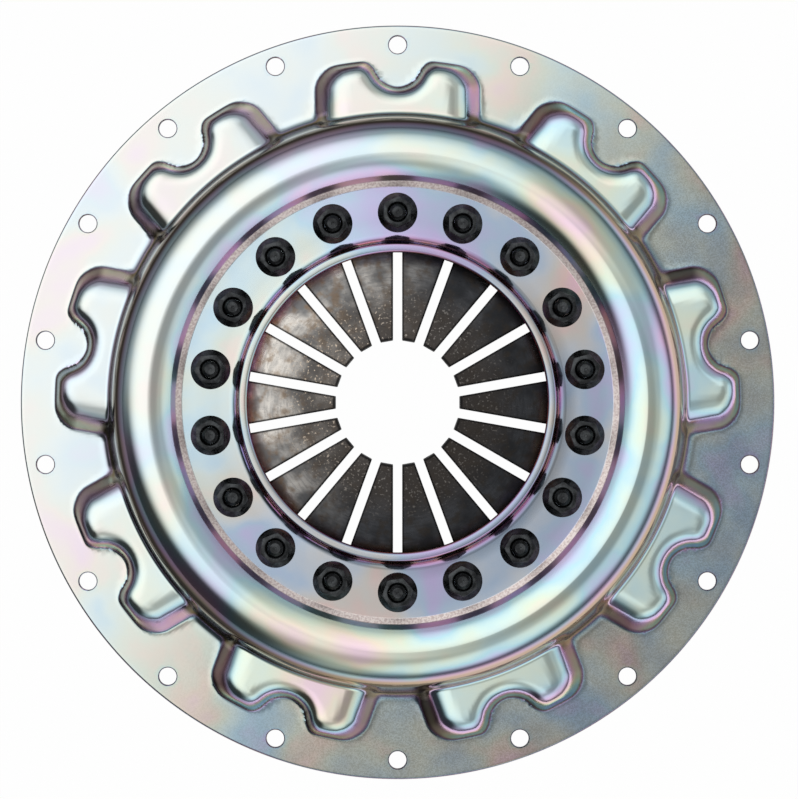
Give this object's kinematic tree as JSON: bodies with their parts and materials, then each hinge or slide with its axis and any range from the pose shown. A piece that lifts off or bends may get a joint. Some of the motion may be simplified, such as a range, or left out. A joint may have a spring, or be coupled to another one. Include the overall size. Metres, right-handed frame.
{
  "type": "clutch pressure plate assembly",
  "caption": "Domed clutch cover with lobes and a drilled flange, a slotted diaphragm spring on pivot studs, and a lug-driven pressure plate that lifts along the axis.",
  "frame": {"origin": "on the clutch axis, in the flange face that bolts to the flywheel", "axes": "+Z along the clutch axis towards the gearbox, +Y through the middle of one lobe and one flange hole"},
  "size_m": [0.274, 0.274, 0.041],
  "materials": {
    "zinc_plated_cover": "bright zinc plate with an iridescent passivated film",
    "spring_steel": "dark tempered spring steel, mottled",
    "fulcrum_wire": "drawn steel wire",
    "cast_iron": "cast iron, ground on the friction face",
    "clip_steel": "blued spring steel strip",
    "black_hardware": "black oxide"
  },
  "bodies": {
    "cover_assembly": {"cover": "zinc_plated_cover", "diaphragm_spring": "spring_steel", "fulcrum_ring_upper": "fulcrum_wire", "fulcrum_ring_lower": "fulcrum_wire", "pivot_stud_01": "black_hardware", "pivot_stud_02": "black_hardware", "pivot_stud_03": "black_hardware", "pivot_stud_04": "black_hardware", "pivot_stud_05": "black_hardware", "pivot_stud_06": "black_hardware", "pivot_stud_07": "black_hardware", "pivot_stud_08": "black_hardware", "pivot_stud_09": "black_hardware", "pivot_stud_10": "black_hardware", "pivot_stud_11": "black_hardware", "pivot_stud_12": "black_hardware", "pivot_stud_13": "black_hardware", "pivot_stud_14": "black_hardware", "pivot_stud_15": "black_hardware", "pivot_stud_16": "black_hardware", "pivot_stud_17": "black_hardware", "pivot_stud_18": "black_hardware", "pivot_nut_01": "black_hardware", "pivot_nut_02": "black_hardware", "pivot_nut_03": "black_hardware", "pivot_nut_04": "black_hardware", "pivot_nut_05": "black_hardware", "pivot_nut_06": "black_hardware", "pivot_nut_07": "black_hardware", "pivot_nut_08": "black_hardware", "pivot_nut_09": "black_hardware", "pivot_nut_10": "black_hardware", "pivot_nut_11": "black_hardware", "pivot_nut_12": "black_hardware", "pivot_nut_13": "black_hardware", "pivot_nut_14": "black_hardware", "pivot_nut_15": "black_hardware", "pivot_nut_16": "black_hardware", "pivot_nut_17": "black_hardware", "pivot_nut_18": "black_hardware"},
    "plate_assembly": {"pressure_plate": "cast_iron", "retracting_clip_01": "clip_steel", "retracting_clip_02": "clip_steel", "retracting_clip_03": "clip_steel", "clip_screw_01": "black_hardware", "clip_screw_02": "black_hardware", "clip_screw_03": "black_hardware"}
  },
  "joints": [
    {"name": "plate_lift", "type": "slide", "parent": "cover_assembly", "child": "plate_assembly", "axis": [0, 0, 1], "range_m": [0, 0.003], "stiffness_N_per_m": 20000, "deforming": ["diaphragm_spring"]}
  ]
}
